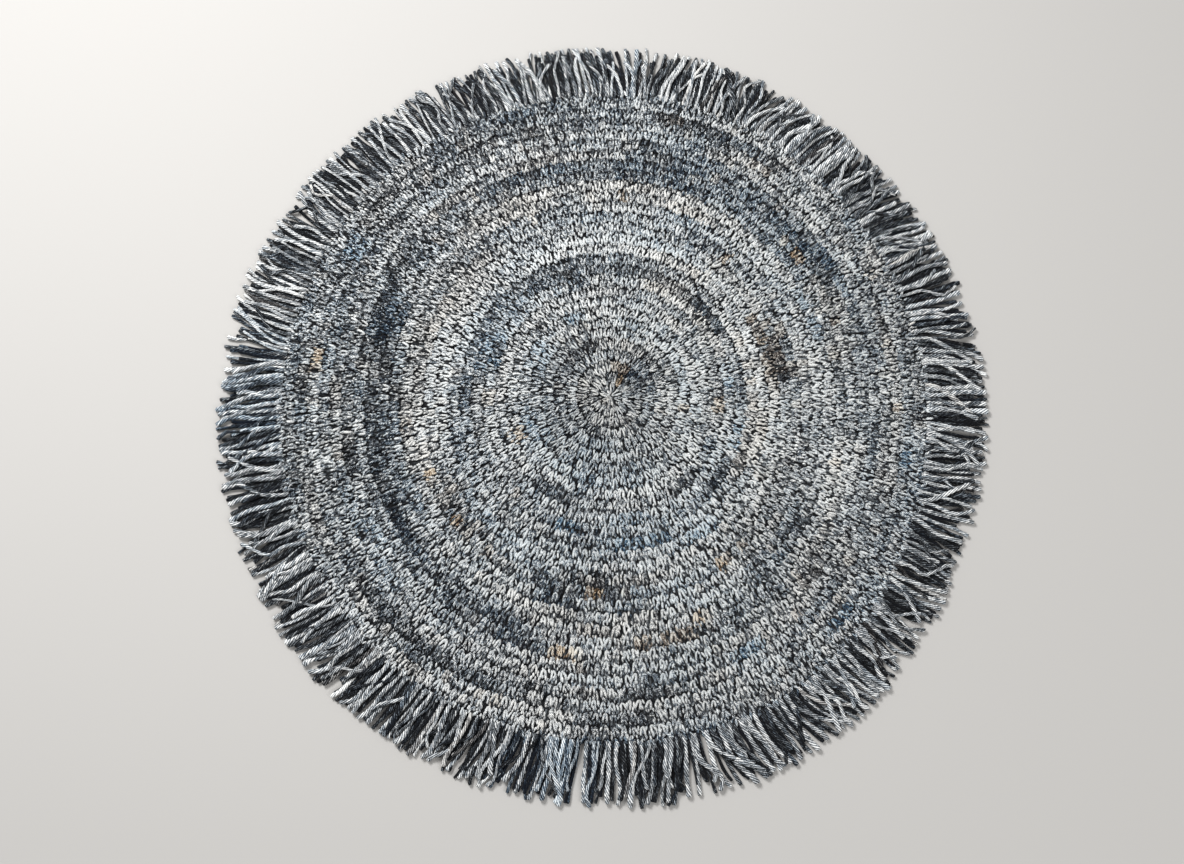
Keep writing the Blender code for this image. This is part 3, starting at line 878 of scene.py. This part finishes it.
def melange_yarn(name, turn_m, plies, dash_m, dash_stray, seam_painted_shade):
    """Wool and cotton yarn of a few plies spun from light and dark fibre, which gives the eye
    a salt and pepper rope with soft edges: no gloss, a little sheen from its fuzz."""
    material, tree, shader = new_material(name)
    uv = add(tree, "ShaderNodeUVMap", {"uv_map": "twist"}).outputs[0]
    split = add(tree, "ShaderNodeSeparateXYZ", _0=uv)
    along, turn = split.outputs[0], split.outputs[1]
    chance = add(tree, "ShaderNodeAttribute", {"attribute_name": "chance"}).outputs["Fac"]
    tone = add(tree, "ShaderNodeAttribute", {"attribute_name": "tone"}).outputs["Fac"]
    blue = add(tree, "ShaderNodeAttribute", {"attribute_name": "blue"}).outputs["Fac"]
    tan = add(tree, "ShaderNodeAttribute", {"attribute_name": "tan"}).outputs["Fac"]
    # Plies wind round the yarn once in turn_m, and change shade every dash_m or so
    wind = maths(tree, "ADD", maths(tree, "DIVIDE", along, turn_m), turn)
    wind = maths(tree, "MULTIPLY", maths(tree, "ADD", wind, chance), float(plies))
    inside = maths(tree, "FRACT", wind)
    number = maths(tree, "MODULO", maths(tree, "FLOOR", wind), float(plies))
    dash = maths(tree, "ADD", maths(tree, "DIVIDE", along, dash_m),
                 maths(tree, "MULTIPLY", number, 0.37))
    dash = maths(tree, "FLOOR", maths(tree, "ADD", dash, maths(tree, "MULTIPLY", chance, 9.0)))
    spun = add(tree, "ShaderNodeTexWhiteNoise", {"noise_dimensions": "3D"},
               Vector=add(tree, "ShaderNodeCombineXYZ", X=number, Y=dash, Z=chance).outputs[0])
    spun_split = add(tree, "ShaderNodeSeparateXYZ", _0=spun.outputs[1])
    place = add(tree, "ShaderNodeTexCoord").outputs["Object"]
    # Lighter and darker fibre every 7 mm or so, and flecks of about 2 mm
    drift = add(tree, "ShaderNodeTexNoise", Vector=place, Scale=140.0, Detail=1.0).outputs[0]
    fleck = add(tree, "ShaderNodeTexNoise", Vector=place, Scale=620.0, Detail=1.0,
                Roughness=0.6).outputs[0]
    shade = weighted(tree, tone, (spun_split.outputs[0], 0.5, dash_stray), (drift, 0.5, 0.4),
                     (fleck, 0.5, 0.9))
    # The seam between two plies lies in its own shadow: painted shade in the colour, besides the
    # bump
    crown = maths(tree, "SINE", maths(tree, "MULTIPLY", inside, math.pi))
    shade = weighted(tree, shade, (crown, 0.75, seam_painted_shade))
    grey = ramp(tree, TONE_STOPS, shade)
    blue = weighted(tree, blue, (spun_split.outputs[1], 0.5, 0.3))
    colour = add(tree, "ShaderNodeMix", {"data_type": "RGBA"}, _0=blue, _6=grey,
                 _7=ramp(tree, BLUE_STOPS, shade)).outputs[2]
    colour = add(tree, "ShaderNodeMix", {"data_type": "RGBA"}, _0=tan, _6=colour,
                 _7=ramp(tree, TAN_STOPS, shade)).outputs[2]
    tree.links.new(colour, shader.inputs["Base Color"])
    bump = add(tree, "ShaderNodeBump", Strength=1.0, Distance=0.0010, Height=crown)
    tree.links.new(bump.outputs[0], shader.inputs["Normal"])
    shader.inputs["Roughness"].default_value = 0.92
    shader.inputs["IOR"].default_value = 1.45
    shader.inputs["Specular IOR Level"].default_value = 0.12
    shader.inputs["Sheen Weight"].default_value = 0.04
    shader.inputs["Sheen Roughness"].default_value = 0.5
    return material


def ground_back_and_painted_shade():
    """The same yarn seen deep between the stitches, darkened there as painted shade, and as the
    flat back of the rows: dim grey dashes lying outwards in rows."""
    material, tree, shader = new_material("wool_cotton_melange_back_and_painted_shade")
    place = add(tree, "ShaderNodeTexCoord").outputs["Object"]
    centred = add(tree, "ShaderNodeMapping", Vector=place,
                  Location=(-MIDDLE[0], -MIDDLE[1], 0)).outputs[0]
    split = add(tree, "ShaderNodeSeparateXYZ", _0=centred)
    x, y = split.outputs[0], split.outputs[1]
    radius = maths(tree, "SQRT", maths(tree, "ADD", maths(tree, "MULTIPLY", x, x),
                                       maths(tree, "MULTIPLY", y, y)))
    turn = maths(tree, "ARCTAN2", y, x)
    rows = maths(tree, "DIVIDE", radius, BACK_ROW)
    row_number = maths(tree, "FLOOR", rows)
    row_part = maths(tree, "FRACT", rows)
    count = maths(tree, "ROUND", maths(tree, "MULTIPLY", maths(tree, "ADD", row_number, 0.5),
                                       math.tau * BACK_ROW / BACK_STITCH))
    stitch = maths(tree, "MULTIPLY", maths(tree, "DIVIDE", turn, math.tau), count)
    stitch_number = maths(tree, "FLOOR", stitch)
    stitch_part = maths(tree, "FRACT", stitch)
    both = add(tree, "ShaderNodeCombineXYZ", X=row_number, Y=stitch_number).outputs[0]
    chance = add(tree, "ShaderNodeTexWhiteNoise", {"noise_dimensions": "2D"},
                 Vector=both).outputs[0]
    fleck = add(tree, "ShaderNodeTexNoise", Vector=place, Scale=420.0, Detail=3.0,
                Roughness=0.7).outputs[0]
    # The back's stitches are painted lighter on their crowns and darker towards their edges:
    # painted light and shade of their roundness, besides the bump
    across = maths(tree, "SINE", maths(tree, "MULTIPLY", stitch_part, math.pi))
    along = maths(tree, "SINE", maths(tree, "MULTIPLY", row_part, math.pi))
    crown = maths(tree, "MULTIPLY", across, maths(tree, "POWER", along, 0.4))
    shade = weighted(tree, 0.16, (chance, 0.0, 0.5), (crown, 0.5, 0.35), (fleck, 0.5, 0.8))
    # Painted shade: darker between the stitches, where shade falls, than on the back
    height = add(tree, "ShaderNodeSeparateXYZ", _0=place).outputs[2]
    shade = maths(tree, "SUBTRACT", shade, maths(tree, "MULTIPLY", 0.34,
                                                 maths(tree, "GREATER_THAN", height, 0.002)))
    tree.links.new(ramp(tree, TONE_STOPS, shade), shader.inputs["Base Color"])
    bump = add(tree, "ShaderNodeBump", Strength=1.0, Distance=0.003,
               Height=maths(tree, "ADD", crown, maths(tree, "MULTIPLY", fleck, 0.3)))
    tree.links.new(bump.outputs[0], shader.inputs["Normal"])
    shader.inputs["Roughness"].default_value = 0.95
    shader.inputs["Specular IOR Level"].default_value = 0.15
    shader.inputs["Sheen Weight"].default_value = 0.1
    return material


def plain_floor():
    material, _, shader = new_material("pale_matt_floor")
    shader.inputs["Base Color"].default_value = linear("#b3b1ae")
    shader.inputs["Roughness"].default_value = 0.8
    bm = bmesh.new()
    bmesh.ops.create_grid(bm, x_segments=1, y_segments=1, size=6.0)
    bmesh.ops.translate(bm, verts=bm.verts, vec=(0, 0, -0.0004))
    mesh = bpy.data.meshes.new("floor")
    bm.to_mesh(mesh)
    bm.free()
    mesh.materials.append(material)
    floor = bpy.data.objects.new("floor", mesh)
    bpy.context.scene.collection.objects.link(floor)


def soft_light(name, place, aim, size, power):
    light = bpy.data.lights.new(name, "AREA")
    light.shape = "DISK"
    light.size = size
    light.energy = power
    lamp = bpy.data.objects.new(name, light)
    bpy.context.scene.collection.objects.link(lamp)
    lamp.location = place
    lamp.rotation_euler = (Vector(aim) - Vector(place)).to_track_quat("-Z", "Y").to_euler()


def set_camera():
    """Almost straight down, from a little short of the rug's middle."""
    camera = bpy.data.objects.new("camera", bpy.data.cameras.new("camera"))
    bpy.context.scene.collection.objects.link(camera)
    camera.data.sensor_width = 36
    camera.data.lens = 45.6
    camera.data.clip_end = 50
    camera.location = (-0.0166, -0.377, 2.3014)
    camera.rotation_euler = (math.radians(8.6), 0, 0)
    bpy.context.scene.camera = camera


set_camera()
stitch_yarn = melange_yarn("wool_cotton_melange_yarn", turn_m=0.016, plies=3, dash_m=0.0050,
                           dash_stray=0.95, seam_painted_shade=0.95)
fringe_yarn = melange_yarn("wool_cotton_melange_fringe", turn_m=0.036, plies=6, dash_m=0.0080,
                           dash_stray=0.60, seam_painted_shade=0.78)
ground = lay_ground(ground_back_and_painted_shade())
stitches = lay_stitches(stitch_yarn)
knots = lay_knots(stitch_yarn)
strands = lay_fringe(fringe_yarn)
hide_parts("crochet_round")
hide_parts("fringe")

plain_floor()
soft_light("key", place=(-1.3, 1.6, 2.4), aim=(0, 0, 0), size=1.2, power=120)
soft_light("fill", place=(1.8, -1.6, 2.4), aim=(0, 0, 0), size=2.4, power=34)
world = bpy.data.worlds.new("studio")
world.use_nodes = True
world.node_tree.nodes["Background"].inputs[0].default_value = (1, 1, 1, 1)
world.node_tree.nodes["Background"].inputs[1].default_value = 0.48
bpy.context.scene.world = world
bpy.context.scene.view_settings.view_transform = "Standard"
